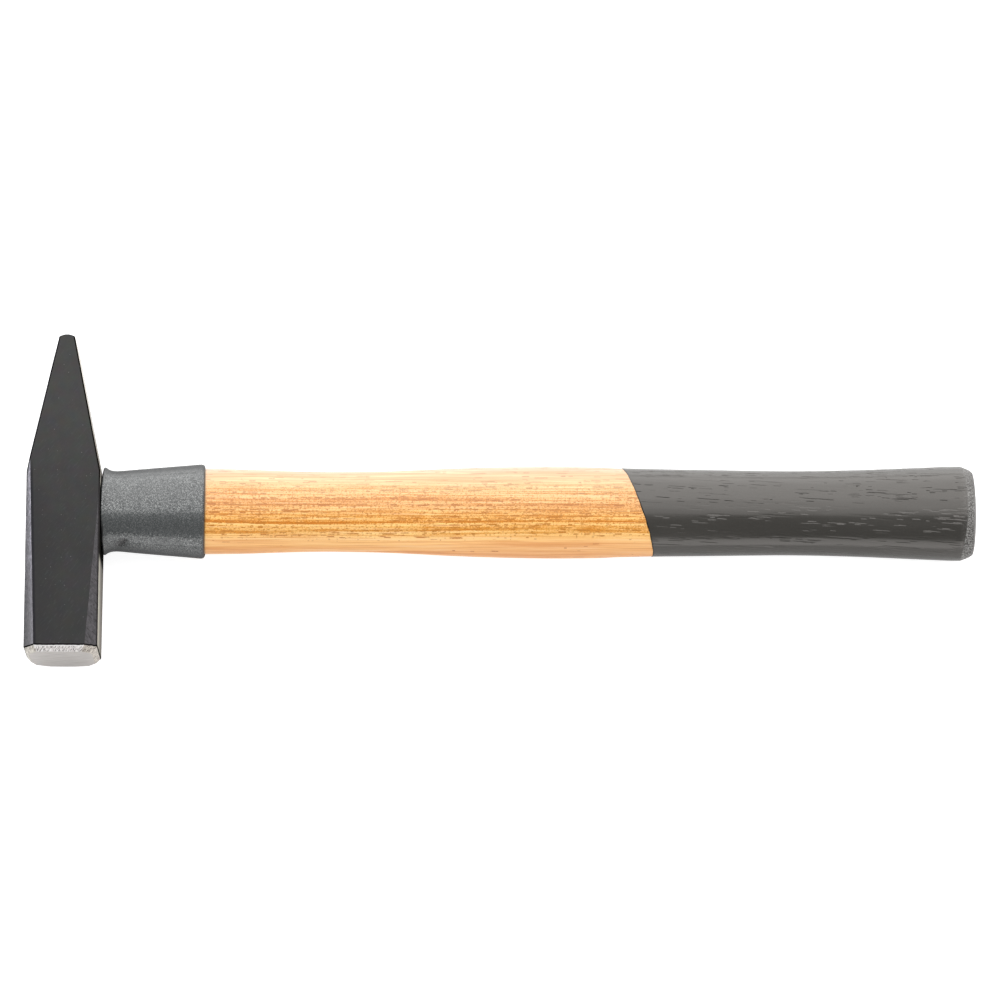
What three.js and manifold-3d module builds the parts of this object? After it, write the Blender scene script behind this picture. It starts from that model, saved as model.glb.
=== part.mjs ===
// Cross-pein bench hammer with a wooden handle.
// Millimetres, +Z up. The hammer lies on one cheek: +X runs along the handle
// from the head to the butt, +Y along the head from the striking face to the
// pein. The origin is on the lower cheek, straight under the centre of the eye.
// Every piece is drawn about the centre of the eye, and the whole group is then
// raised by half the head's thickness.
// On the head, the cheeks are the two sides facing Z and the edges the two
// facing X. Half-sizes of oval sections are y (half-height) and z (half-width).

import * as THREE from 'three';
import { mergeVertices } from 'three/addons/utils/BufferGeometryUtils.js';
import Module from 'manifold-3d';

const wasm = await Module();
wasm.setup();
const { Manifold, Mesh: SolidMesh } = wasm;

// -------------------------------------------------------- shared dimensions

const LENGTH = 300;              // overall, along X
const HALF = 11.7;               // half the head's width (X) and thickness (Z)
const BUTT_X = LENGTH - HALF;    // top of the domed butt

const GAP = 0.3;                 // clearance between fitted pieces
const COAT_GAP = 0.1;            // clearance between the coat and the wood
const COAT_WALL = 0.3;

const HANDLE_RATIO = 0.74;       // half-width over half-height
const OVAL_SEGMENTS = 40;

// Eye: an oval hole along X, narrower at its middle
const EYE_MOUTH = { y: 10.5, z: 6.5 };
const EYE_WAIST = { y: 9.75, z: 5.75 };

// Handle outline: [x, half-height]
const OUTLINE = [
  [44.0, 13.72], [50, 13.60], [57, 13.47], [63, 13.26], [70, 13.01], [77, 12.81],
  [84, 12.73], [91, 12.80], [98, 12.93], [105, 13.15], [112, 13.48], [119, 13.83],
  [126, 14.11], [134, 14.37], [143, 14.58], [152, 14.69], [160, 14.66], [168, 14.52],
  [176, 14.32], [184, 14.12], [194, 13.95], [206, 13.80], [217, 13.63], [227, 13.54],
  [236, 13.59], [245, 13.79], [254, 14.06], [263, 14.42], [272, 14.78], [278, 15.03],
  [281.6, 15.11], [283.2, 15.03],
];

// Rounding of the butt, up to BUTT_X on the axis: [x, half-height]
const BUTT = [[286.3, 13.50], [287.2, 12.60], [287.9, 9.5], [288.2, 5.0]];

// Outside of the steel sleeve between the head and the bare wood: [x, half-height]
const SLEEVE_OUTER = [
  [12.1, 13.60], [12.5, 14.00], [13.0, 13.90], [13.8, 13.32], [15.0, 12.95],
  [16.6, 12.84], [18.5, 12.98], [24.9, 13.54], [31.2, 14.06], [37.5, 14.58],
  [42.0, 14.99], [43.6, 15.10], [44.2, 14.95],
];
const SLEEVE_THROAT_X = 16.6;    // its narrowest station
const SLEEVE_END_X = SLEEVE_OUTER.at(-1)[0];
const SLEEVE_WALL = 1.0;

// ------------------------------------------------------------------- helpers

const V = (x, y, z) => new THREE.Vector3(x, y, z);

// A closed three.js geometry as a solid.
function toSolid(geometry) {
  const bare = new THREE.BufferGeometry();
  bare.setAttribute('position', geometry.attributes.position);
  bare.setIndex(geometry.index);
  const merged = mergeVertices(bare, 1e-5);
  const position = merged.attributes.position;
  const source = merged.index.array;

  // Merging collapses some triangles to a line: leave those out.
  const triangles = [];
  for (let i = 0; i < source.length; i += 3) {
    const [a, b, c] = source.slice(i, i + 3);
    if (a !== b && b !== c && c !== a) triangles.push(a, b, c);
  }

  // Turn the triangles round if they face inwards.
  const point = (i) => V().fromBufferAttribute(position, triangles[i]);
  let volume = 0;
  for (let i = 0; i < triangles.length; i += 3) {
    volume += point(i).dot(point(i + 1).cross(point(i + 2)));
  }
  if (volume < 0) {
    for (let i = 0; i < triangles.length; i += 3) {
      [triangles[i], triangles[i + 1]] = [triangles[i + 1], triangles[i]];
    }
  }
  return new Manifold(new SolidMesh({
    numProp: 3,
    vertProperties: new Float32Array(position.array),
    triVerts: new Uint32Array(triangles),
  }));
}

// A solid as a three.js geometry with shared vertices and averaged normals.
function toGeometry(solid) {
  const mesh = solid.getMesh();
  const geometry = new THREE.BufferGeometry();
  geometry.setAttribute('position', new THREE.Float32BufferAttribute(mesh.vertProperties, 3));
  geometry.setIndex(Array.from(mesh.triVerts));
  geometry.computeVertexNormals();
  return geometry;
}

// A large block in front of the plane through point, on the side that normal
// points to.
function halfSpace(point, normal) {
  const size = 400;
  const direction = normal.clone().normalize();
  const turn = new THREE.Quaternion().setFromUnitVectors(V(0, 0, 1), direction);
  const box = new THREE.BoxGeometry(size, size, size);
  box.applyQuaternion(turn);
  box.translate(...point.clone().addScaledVector(direction, size / 2).toArray());
  return toSolid(box);
}

// The half space beyond the plane through three points, away from the eye's centre.
function cutBeyond(a, b, c) {
  const normal = b.clone().sub(a).cross(c.clone().sub(a)).normalize();
  if (normal.dot(a) < 0) normal.negate();
  return halfSpace(a, normal);
}

// A solid of oval sections along X. Each entry of profile is [x, y, z], a
// station and its two half-sizes. It starts and ends on the axis, or closes.
function ovalSolid(profile) {
  const outline = profile.map(([x, y]) => new THREE.Vector2(y, x));
  const lathe = new THREE.LatheGeometry(outline, OVAL_SEGMENTS);
  const position = lathe.attributes.position;
  for (let i = 0; i <= OVAL_SEGMENTS; i += 1) {
    const angle = ((i % OVAL_SEGMENTS) / OVAL_SEGMENTS) * Math.PI * 2;
    profile.forEach(([x, y, z], j) => {
      position.setXYZ(i * profile.length + j, x, y * Math.cos(angle), z * Math.sin(angle));
    });
  }
  return toSolid(lathe);
}

// A table of [x, half-height] as oval stations, made smaller all round by inset
// and moved towards the head by shift.
function ovalStations(table, inset = 0, shift = 0) {
  return table.map(([x, y]) => [x - shift, y - inset, HANDLE_RATIO * y - inset]);
}

// Linear interpolation in a table of [x, value], held at both ends.
function lookup(table, x) {
  if (x <= table[0][0]) return table[0][1];
  for (let i = 1; i < table.length; i += 1) {
    if (x <= table[i][0]) {
      const [x0, value0] = table[i - 1];
      const [x1, value1] = table[i];
      return value0 + ((value1 - value0) * (x - x0)) / (x1 - x0);
    }
  }
  return table.at(-1)[1];
}

// ----------------------------------------------------------------------- eye

// Half-sizes [y, z] of the eye at x, constant beyond its mouths.
function eyeSection(x) {
  const t = Math.min(1, Math.abs(x) / HALF);
  return ['y', 'z'].map((axis) => EYE_WAIST[axis] + (EYE_MOUTH[axis] - EYE_WAIST[axis]) * t * t);
}

function eyeHole() {
  const end = HALF + 2;          // runs past the head on both sides
  const stations = [-end, -HALF, -9, -6, -3, 0, 3, 6, 9, HALF, end];
  const profile = stations.map((x) => [x, ...eyeSection(x)]);
  return ovalSolid([[-end, 0, 0], ...profile, [end, 0, 0]]);
}

// ---------------------------------------------------------------------- head

const FACE_Y = -48.2;            // striking face
const RING_Y = -45.7;            // where the ground bevel around the face begins
const BEVEL_INSET = { x: 1.8, z: 1.15 }; // of the face from the edges and the cheeks
const SHOULDER_Y = 10.2;         // where the pein begins to taper
const PEIN = {
  y: 54.1,                       // corners of its edge
  crown: 0.75,                   // rise of the rounded edge
  half: 2.5,                     // half the width of the edge
  lean: 0.35,                    // the edge's offset towards the handle
  steps: 8,
};

// Corner chamfers of the poll, far from the handle (-X) and near it (+X): x and
// z are their runs on the cheek and the edge at RING_Y, and endX is what is left
// of the run on the cheek at endY.
const FAR_CHAMFER = { side: -1, x: 3.4, z: 4.6, endX: 1.3, endY: SHOULDER_Y };
const NEAR_CHAMFER = { side: 1, x: 3.95, z: 2.1, endX: 0, endY: 8.0 };

// Poll block and pein wedge with its round edge, drawn in the XY plane.
function headBlock() {
  const shape = new THREE.Shape();
  shape.moveTo(-HALF, FACE_Y);
  shape.lineTo(HALF, FACE_Y);
  shape.lineTo(HALF, SHOULDER_Y);
  for (let i = 0; i <= PEIN.steps; i += 1) {
    const t = 1 - (2 * i) / PEIN.steps;
    shape.lineTo(PEIN.lean + PEIN.half * t, PEIN.y + PEIN.crown * (1 - t * t));
  }
  shape.lineTo(-HALF, SHOULDER_Y);
  shape.closePath();
  const block = new THREE.ExtrudeGeometry(shape, { depth: 2 * HALF, bevelEnabled: false });
  block.translate(0, 0, -HALF);
  return toSolid(block);
}

function chamferCut({ side, x, z, endX, endY }, up) {
  return cutBeyond(
    V(side * (HALF - x), RING_Y, up * HALF),
    V(side * HALF, RING_Y, up * (HALF - z)),
    V(side * (HALF - endX), endY, up * HALF),
  );
}

// Corners [x, z] of the poll's octagonal section, with its edges and cheeks
// moved in by the insets. Each chamfer keeps its direction and moves in by
// their mean.
function octagon(insetX, insetZ) {
  const x = HALF - insetX;
  const z = HALF - insetZ;
  const chamferEnds = (chamfer) => {
    const inward = ((insetX + insetZ) / 2) * Math.hypot(chamfer.x, chamfer.z);
    // The chamfer's line is chamfer.z * |x| + chamfer.x * |z| = reach.
    const reach = chamfer.z * HALF + chamfer.x * HALF - chamfer.x * chamfer.z - inward;
    return {
      cheekX: chamfer.side * ((reach - chamfer.x * z) / chamfer.z),
      edgeZ: (reach - chamfer.z * x) / chamfer.x,
    };
  };
  const far = chamferEnds(FAR_CHAMFER);
  const near = chamferEnds(NEAR_CHAMFER);
  return [
    [far.cheekX, z], [near.cheekX, z], [x, near.edgeZ], [x, -near.edgeZ],
    [near.cheekX, -z], [far.cheekX, -z], [-x, -far.edgeZ], [-x, far.edgeZ],
  ];
}

// Ground bevel: one plane from each side of the octagon at RING_Y to the middle
// of the matching side of the smaller octagon of the striking face.
function bevelCuts() {
  const ring = octagon(0, 0);
  const face = octagon(BEVEL_INSET.x, BEVEL_INSET.z);
  return ring.map(([x, z], i) => {
    const next = (i + 1) % ring.length;
    const [nextX, nextZ] = ring[next];
    const middle = V((face[i][0] + face[next][0]) / 2, FACE_Y, (face[i][1] + face[next][1]) / 2);
    return cutBeyond(V(x, RING_Y, z), V(nextX, RING_Y, nextZ), middle);
  });
}

function headSolid() {
  const chamferCuts = [1, -1].flatMap((up) => (
    [FAR_CHAMFER, NEAR_CHAMFER].map((chamfer) => chamferCut(chamfer, up))
  ));
  return [...chamferCuts, ...bevelCuts(), eyeHole()]
    .reduce((head, cut) => head.subtract(cut), headBlock());
}

// -------------------------------------------------------------------- wedges

const WEDGE = { start: -11.5, tip: 6.0, halfLength: 8.7, halfStart: 1.2, halfTip: 0.45 };
const RING = { start: -11.6, end: -3.6, outer: 4.75, inner: 3.75 };
const OVERRUN = 1;               // how far their slots run past their outer ends
const KERF = { start: WEDGE.start - OVERRUN, end: 8.0, halfLength: 14 };

// A trapezium in the XZ plane from x0 to x1, extruded along Y.
function taperedSlab(x0, half0, x1, half1, halfLength) {
  const shape = new THREE.Shape([
    new THREE.Vector2(x0, -half0),
    new THREE.Vector2(x1, -half1),
    new THREE.Vector2(x1, half1),
    new THREE.Vector2(x0, half0),
  ]);
  const slab = new THREE.ExtrudeGeometry(shape, { depth: 2 * halfLength, bevelEnabled: false });
  slab.rotateX(Math.PI / 2);
  slab.translate(0, halfLength, 0);
  return toSolid(slab);
}

// The round ring wedge, or its slot when given a clearance and an overrun.
function ringSolid(clearance = 0, overrun = 0) {
  const outer = RING.outer + clearance;
  const inner = RING.inner - clearance;
  const start = RING.start - overrun;
  const end = RING.end + clearance;
  return ovalSolid([
    [start, inner, inner],
    [start, outer, outer],
    [end, outer, outer],
    [end, inner, inner],
    [start, inner, inner],
  ]);
}

const ringSlot = () => ringSolid(GAP, OVERRUN);

function woodWedgeSolid() {
  const { start, halfStart, tip, halfTip, halfLength } = WEDGE;
  return taperedSlab(start, halfStart, tip, halfTip, halfLength).subtract(ringSlot());
}

// Slot for the wooden wedge, with its taper, right across the handle.
function kerfSolid() {
  const slope = (WEDGE.halfStart - WEDGE.halfTip) / (WEDGE.tip - WEDGE.start);
  const half = (x) => WEDGE.halfStart + GAP - slope * (x - WEDGE.start);
  return taperedSlab(KERF.start, half(KERF.start), KERF.end, half(KERF.end), KERF.halfLength);
}

// -------------------------------------------------------------------- handle

const HANDLE_START = -11.4;      // end of the handle in the eye
const TENON_END = HALF + 0.5;    // end of the part that follows the eye
const TENON_BLEND = 5.5;         // length over which it widens to fill the sleeve
const COAT_STEP = { start: 168, end: 176 }; // where the wood thins under the coat

// Stations of the tenon and of the wood under the sleeve
const HIDDEN_STATIONS = [
  HANDLE_START, -9, -6, -3, 0, 3, 6, 9, TENON_END,
  13.6, 15.2, TENON_END + TENON_BLEND, 24.9, 31.2, 37.5, 43.6,
];

const tenonSection = (x) => eyeSection(x).map((half) => half - GAP);

// Half-sizes [y, z] of the handle at x, before it is thinned for the coat.
function handleSection(x) {
  if (x <= TENON_END) return tenonSection(x);
  if (x < SLEEVE_END_X) {
    // The half-height doesn't follow the sleeve's flare before its throat.
    const sleeveY = lookup(SLEEVE_OUTER, Math.max(x, SLEEVE_THROAT_X));
    const sleeveZ = HANDLE_RATIO * lookup(SLEEVE_OUTER, x);
    const filled = [sleeveY, sleeveZ].map((half) => half - SLEEVE_WALL - GAP);
    const blend = Math.min(1, (x - TENON_END) / TENON_BLEND);
    return tenonSection(TENON_END).map((half, i) => half + (filled[i] - half) * blend);
  }
  const y = lookup(OUTLINE, x);
  return [y, HANDLE_RATIO * y];
}

function handleSolid() {
  const fullInset = COAT_WALL + COAT_GAP;
  const bareStations = OUTLINE.map(([x]) => x).filter((x) => x > SLEEVE_END_X);
  const profile = [...HIDDEN_STATIONS, ...bareStations].map((x) => {
    const inset = fullInset * THREE.MathUtils.smoothstep(x, COAT_STEP.start, COAT_STEP.end);
    const [y, z] = handleSection(x);
    return [x, y - inset, z - inset];
  });
  return ovalSolid([
    [HANDLE_START, 0, 0],
    ...profile,
    ...ovalStations(BUTT, fullInset, fullInset),
    [BUTT_X - fullInset, 0, 0],
  ]).subtract(kerfSolid()).subtract(ringSlot());
}

// -------------------------------------------------------------------- sleeve

function sleeveSolid() {
  const outer = ovalStations(SLEEVE_OUTER);
  const inner = ovalStations(SLEEVE_OUTER, SLEEVE_WALL);
  return ovalSolid([...outer, ...inner.reverse(), outer[0]]);
}

// ---------------------------------------------------------------------- coat

const COAT_START = 170;          // the coat is drawn from here, then cut at its edge
// Where its edge crosses the handle's axis, and the edge's run towards the head
// per millimetre of +Y
const COAT_EDGE = { x: 180.75, slant: 0.35 };

// Thin lacquer cup over the grip and butt, ending in a slanted edge.
function coatSolid() {
  const grip = [
    [COAT_START, lookup(OUTLINE, COAT_START)],
    ...OUTLINE.filter(([x]) => x > COAT_START),
  ];
  const cup = ovalSolid([
    [BUTT_X, 0, 0],
    ...ovalStations([...grip, ...BUTT]).reverse(),
    ...ovalStations(grip, COAT_WALL),
    ...ovalStations(BUTT, COAT_WALL, COAT_WALL),
    [BUTT_X - COAT_WALL, 0, 0],
  ]);
  return cup.subtract(halfSpace(V(COAT_EDGE.x, 0, 0), V(-1, -COAT_EDGE.slant, 0)));
}

// --------------------------------------------------------------------- group

const MATERIALS = {
  headSteel: { color: 0x474647, roughness: 0.45, metalness: 0.6 },
  handleWood: { color: 0xf4c58a, roughness: 0.5, metalness: 0 },
  wedgeWood: { color: 0xd9b077, roughness: 0.6, metalness: 0 },
  ringMetal: { color: 0xa8a9ab, roughness: 0.35, metalness: 1 },
  sleeveSteel: { color: 0x74787a, roughness: 0.4, metalness: 0.5 },
  lacquer: { color: 0x64615e, roughness: 0.35, metalness: 0 },
};

const hammer = new THREE.Group();
hammer.name = 'cross_pein_hammer';
hammer.position.set(0, 0, HALF);

function addPiece(name, solid, material) {
  const mesh = new THREE.Mesh(toGeometry(solid), new THREE.MeshStandardMaterial(material));
  mesh.name = name;
  hammer.add(mesh);
}

addPiece('head', headSolid(), MATERIALS.headSteel);
addPiece('handle', handleSolid(), MATERIALS.handleWood);
addPiece('wood_wedge', woodWedgeSolid(), MATERIALS.wedgeWood);
addPiece('ring_wedge', ringSolid(), MATERIALS.ringMetal);
addPiece('neck_sleeve', sleeveSolid(), MATERIALS.sleeveSteel);
addPiece('grip_coat', coatSolid(), MATERIALS.lacquer);

export default hammer;
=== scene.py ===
"""A hammer lying on its cheek on a pale floor.

The eye of the steel head is centred on x = 0, y = 0. The handle runs along +X,
the striking face looks towards -Y, the pein points to +Y, and the two cheeks
look up and down (Z). Behind the head come a painted sheet sleeve, lacquered
hickory and a grip dipped in grey lacquer. A wooden wedge and a steel ring wedge
sit in the handle's end inside the eye.
"""
import bpy
import bmesh
import math
import numpy as np
from mathutils import Matrix, Vector


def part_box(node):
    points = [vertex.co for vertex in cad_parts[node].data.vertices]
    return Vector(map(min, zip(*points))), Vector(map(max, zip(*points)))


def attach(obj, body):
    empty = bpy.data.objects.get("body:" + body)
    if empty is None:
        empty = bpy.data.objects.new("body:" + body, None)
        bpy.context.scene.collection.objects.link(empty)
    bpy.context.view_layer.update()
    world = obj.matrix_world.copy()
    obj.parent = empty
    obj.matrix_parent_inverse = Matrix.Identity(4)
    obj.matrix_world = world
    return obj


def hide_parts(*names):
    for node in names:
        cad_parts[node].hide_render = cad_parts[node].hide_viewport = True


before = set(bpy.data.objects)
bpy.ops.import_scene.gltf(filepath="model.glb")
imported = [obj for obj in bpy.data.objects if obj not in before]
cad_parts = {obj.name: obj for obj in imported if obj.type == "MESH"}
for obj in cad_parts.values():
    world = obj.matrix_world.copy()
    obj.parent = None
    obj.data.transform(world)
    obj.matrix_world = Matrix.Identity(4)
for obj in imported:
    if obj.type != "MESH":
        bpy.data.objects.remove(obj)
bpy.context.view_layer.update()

# ----------------------------------------------------------------- dimensions
# Millimetres about the centre of the eye; put() moves points into the frame.

MM = 0.001

head_low, head_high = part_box("head")
sleeve_low, sleeve_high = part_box("neck_sleeve")
coat_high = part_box("grip_coat")[1]
handle_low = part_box("handle")[0]
wedge_low, wedge_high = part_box("wood_wedge")
ring_low, ring_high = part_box("ring_wedge")

EYE_Z = (head_low.z + head_high.z) / 2 / MM       # height of the handle's axis
HALF = (head_high.x - head_low.x) / 2 / MM        # half the head's width
FACE_Y = head_low.y / MM
PEIN_TOP = head_high.y / MM
SLEEVE_END = sleeve_high.x / MM
BUTT_X = coat_high.x / MM
TENON_X = handle_low.x / MM
RING_OUT = (ring_high.y - ring_low.y) / 2 / MM
RING_IN = RING_OUT - 1.0                          # the ring wedge's wall is 1 mm

RING_Y = FACE_Y + 2.5                             # edge of the ground ring round the face
SHOULDER_Y = 10.2                                 # where the pein starts to narrow
PEIN_CROWN = 0.75
PEIN_Y = PEIN_TOP - PEIN_CROWN
PEIN_HALF = 2.5
PEIN_LEAN = 0.35                                  # the pein's offset towards +X

# Corner chamfers of the head: outer at -X, inner at +X, towards the handle
OUTER_X, OUTER_Z = 3.4, 4.6                       # legs at the ring
OUTER_SHOULDER_X = 1.3                            # leg left at the shoulder
INNER_X, INNER_Z = 3.95, 2.1                      # legs at the ring
INNER_END_Y = 8.0                                 # where the inner chamfer runs out

EYE_WAIST, EYE_MOUTH = (9.75, 5.75), (10.5, 6.5)  # half sizes (y, z)
EYE_ROUNDING = 0.7                                # radius round the eye's mouths

OVAL = 0.74                                       # the handle's z to y ratio

# The handle with its coat: (x, half the width in y)
OUTLINE = [
    (40.0, 13.76), (44.0, 13.72), (50, 13.60), (57, 13.47), (63, 13.26), (70, 13.01),
    (77, 12.81), (84, 12.73), (91, 12.80), (98, 12.93), (105, 13.15), (112, 13.48),
    (119, 13.83), (126, 14.11), (134, 14.37), (143, 14.58), (152, 14.69), (160, 14.66),
    (168, 14.52), (176, 14.32), (184, 14.12), (194, 13.95), (206, 13.80), (217, 13.63),
    (227, 13.54), (236, 13.59), (245, 13.79), (254, 14.06), (263, 14.42), (272, 14.78),
    (278, 15.03), (281.2, 15.12), (282.6, 15.12),
]
OUTLINE_END = 282.6

# The coat's slanting front edge: its x on the axis, and its slopes in y and z
DIP_X, DIP_SLOPE, DIP_TILT = 180.75, -0.350, 0.10

# The sleeve's closed section: (x, radius in y). It goes along the outside to the
# far end and back along the inside.
SLEEVE = [
    (12.55, 13.05), (12.28, 13.15), (12.2, 13.4), (12.24, 13.72), (12.4, 13.95),
    (12.62, 14.03), (12.85, 13.98), (13.2, 13.78), (13.7, 13.42), (14.4, 13.12),
    (15.3, 12.93), (16.4, 12.87), (17.4, 12.92), (18.6, 13.02), (21, 13.23),
    (24, 13.49), (27, 13.74), (30, 13.99), (33, 14.24), (36, 14.49), (39, 14.74),
    (41, 14.91), (42.4, 15.03), (43.05, 15.06), (43.5, 15.00), (43.83, 14.85),
    (44.07, 14.62), (44.18, 14.40), (44.14, 14.26), (43.95, 14.18), (43.5, 14.13),
    (42.0, 13.99), (38, 13.64), (33, 13.22), (27, 12.72), (21, 12.21), (17.4, 11.92),
    (16.4, 11.88), (15.5, 11.95), (14.6, 12.15), (13.7, 12.5), (12.95, 12.9),
]
SLEEVE_OUTSIDE = SLEEVE[4:25]


# ----------------------------------------------------------- curves and noise

def curve(table, x):
    """Smooth interpolation through a table of (x, value)."""
    knots = np.array([row[0] for row in table], float)
    values = np.array([row[1] for row in table], float)
    slope = np.gradient(values, knots)
    x = np.clip(np.asarray(x, float), knots[0], knots[-1])
    i = np.clip(np.searchsorted(knots, x) - 1, 0, len(knots) - 2)
    span = knots[i + 1] - knots[i]
    t = (x - knots[i]) / span
    return (
        (2 * t**3 - 3 * t**2 + 1) * values[i]
        + (t**3 - 2 * t**2 + t) * span * slope[i]
        + (-2 * t**3 + 3 * t**2) * values[i + 1]
        + (t**3 - t**2) * span * slope[i + 1]
    )


def smoothstep(x, start, end):
    t = np.clip((np.asarray(x, float) - start) / (end - start), 0, 1)
    return t * t * (3 - 2 * t)


def lattice(x, y, z, seed):
    """A hash from 0 to 1 for each whole-number point."""
    mixed = (x * 374761393 + y * 668265263 + z * 2147483647 + seed * 1274126177) & 0xFFFFFFFF
    mixed = ((mixed ^ (mixed >> 13)) * 1274126177) & 0xFFFFFFFF
    return ((mixed ^ (mixed >> 16)) & 0xFFFF) / 65535.0


def noise(points, seed):
    """Smooth value noise from -1 to 1 at the points (n, 3)."""
    base = np.floor(points).astype(np.int64)
    part = points - base
    part = part * part * (3 - 2 * part)
    total = np.zeros(len(points))
    for dx in (0, 1):
        for dy in (0, 1):
            for dz in (0, 1):
                weight = (
                    (part[:, 0] if dx else 1 - part[:, 0])
                    * (part[:, 1] if dy else 1 - part[:, 1])
                    * (part[:, 2] if dz else 1 - part[:, 2])
                )
                total += weight * lattice(base[:, 0] + dx, base[:, 1] + dy, base[:, 2] + dz, seed)
    return total * 2 - 1


# --------------------------------------------------------------- mesh helpers

def put(points):
    """Millimetres about the eye's centre to metres in the frame."""
    moved = np.array(points, float)
    moved[:, 2] += EYE_Z
    return moved * MM


def link_object(name, mesh):
    ob = bpy.data.objects.new(name, mesh)
    bpy.context.scene.collection.objects.link(ob)
    return ob


def shade_smooth(mesh):
    mesh.polygons.foreach_set("use_smooth", [True] * len(mesh.polygons))


def mesh_object(name, vertices, faces, smooth=True):
    mesh = bpy.data.meshes.new(name)
    mesh.from_pydata([tuple(v) for v in vertices], [], faces)
    mesh.validate()
    mesh.update()
    if smooth:
        shade_smooth(mesh)
    return link_object(name, mesh)


def orient(ob):
    """Turn all faces outwards."""
    bm = bmesh.new()
    bm.from_mesh(ob.data)
    bmesh.ops.recalc_face_normals(bm, faces=bm.faces)
    bm.to_mesh(ob.data)
    bm.free()
    return ob


def bake_modifier(ob, kind, **settings):
    """Run one modifier and keep its result as the mesh."""
    modifier = ob.modifiers.new(kind.lower(), kind)
    for key, value in settings.items():
        setattr(modifier, key, value)
    bpy.context.view_layer.update()
    depsgraph = bpy.context.evaluated_depsgraph_get()
    mesh = bpy.data.meshes.new_from_object(
        ob.evaluated_get(depsgraph), preserve_all_data_layers=True, depsgraph=depsgraph)
    old = ob.data
    ob.modifiers.clear()
    ob.data = mesh
    bpy.data.meshes.remove(old)


def cut(ob, cutter):
    bake_modifier(ob, "BOOLEAN", operation="DIFFERENCE", solver="EXACT", object=cutter)
    bpy.data.objects.remove(cutter, do_unlink=True)


def grid_faces(rows, columns, closed_rows=False):
    """Quads of a grid whose columns wrap round."""
    faces = []
    for i in range(rows if closed_rows else rows - 1):
        here, there = i * columns, ((i + 1) % rows) * columns
        for j in range(columns):
            k = (j + 1) % columns
            faces.append((here + j, there + j, there + k, here + k))
    return faces


def fan_faces(tip, start, count, reverse=False):
    """Triangles from a tip vertex to the ring of vertices at start."""
    faces = []
    for j in range(count):
        pair = (start + j, start + (j + 1) % count)
        faces.append((tip, *(pair[::-1] if reverse else pair)))
    return faces


def circle(count):
    return 2 * np.pi * np.arange(count) / count


def lathe(profile, angles):
    """Points of an (x, radius) profile turned about the X axis."""
    return [(x, radius * math.cos(t), radius * math.sin(t)) for x, radius in profile for t in angles]


def oval_ring(x, y_half, z_half, angles):
    return np.stack([x + 0 * angles, y_half * np.cos(angles), z_half * np.sin(angles)], 1)


def outward(angles, y_half, z_half):
    """Unit normals of an oval section."""
    normal = np.stack([0 * angles, np.cos(angles) / y_half, np.sin(angles) / z_half], 1)
    return normal / np.linalg.norm(normal, axis=1)[:, None]


def float_attribute(ob, name, values):
    attribute = ob.data.attributes.new(name, "FLOAT", "POINT")
    attribute.data.foreach_set("value", np.asarray(values, np.float32))


def read_vectors(vertices, key):
    flat = np.zeros(len(vertices) * 3)
    vertices.foreach_get(key, flat)
    return flat.reshape(-1, 3)


# ------------------------------------------------------------------- the head

def eye_half(x):
    """Half sizes of the eye in y and z, narrowest at its middle."""
    t = np.clip(np.abs(x) / HALF, 0, 1)
    return [waist + (mouth - waist) * t * t for waist, mouth in zip(EYE_WAIST, EYE_MOUTH)]


def all_geometry(bm):
    return bm.verts[:] + bm.edges[:] + bm.faces[:]


def slice_off(bm, *corners):
    """Cut along the plane through three points, keep the eye's side and cap the cut."""
    first, second, third = (Vector(v) for v in corners)
    normal = (second - first).cross(third - first).normalized()
    if normal.dot(-first) > 0:
        normal.negate()
    result = bmesh.ops.bisect_plane(
        bm, geom=all_geometry(bm), plane_co=first, plane_no=normal, clear_outer=True, dist=1e-6)
    edges = [e for e in result["geom_cut"] if isinstance(e, bmesh.types.BMEdge)]
    if edges:
        bmesh.ops.contextual_create(bm, geom=edges)


def head_blank():
    """The head's outline in x and y, with a crowned pein, raised to a square block."""
    bm = bmesh.new()
    outline = [(-HALF, FACE_Y), (HALF, FACE_Y), (HALF, SHOULDER_Y)]
    steps = 28
    for i in range(steps + 1):
        t = 1 - 2 * i / steps
        outline.append((PEIN_LEAN + PEIN_HALF * t, PEIN_Y + PEIN_CROWN * (1 - t * t)))
    outline.append((-HALF, SHOULDER_Y))
    low = [bm.verts.new((x, y, -HALF)) for x, y in outline]
    top = [bm.verts.new((x, y, HALF)) for x, y in outline]
    bm.faces.new(low[::-1])
    bm.faces.new(top)
    for i in range(len(outline)):
        j = (i + 1) % len(outline)
        bm.faces.new((low[i], low[j], top[j], top[i]))
    return bm


def face_octagon(inset_x, inset_z):
    """Corners (x, z) of the chamfered section at the ring, moved in."""
    x, z = HALF - inset_x, HALF - inset_z
    ends = []
    for leg_x, leg_z in ((OUTER_X, OUTER_Z), (INNER_X, INNER_Z)):
        inward = (inset_x + inset_z) / 2 * math.hypot(leg_x, leg_z)
        reach = leg_z * HALF + leg_x * HALF - leg_x * leg_z - inward
        ends.append(((reach - leg_x * z) / leg_z, (reach - leg_z * x) / leg_x))
    (outer_x, outer_z), (inner_x, inner_z) = ends
    return [(-outer_x, z), (inner_x, z), (x, inner_z), (x, -inner_z),
            (inner_x, -z), (-outer_x, -z), (-x, -outer_z), (-x, outer_z)]


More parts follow.
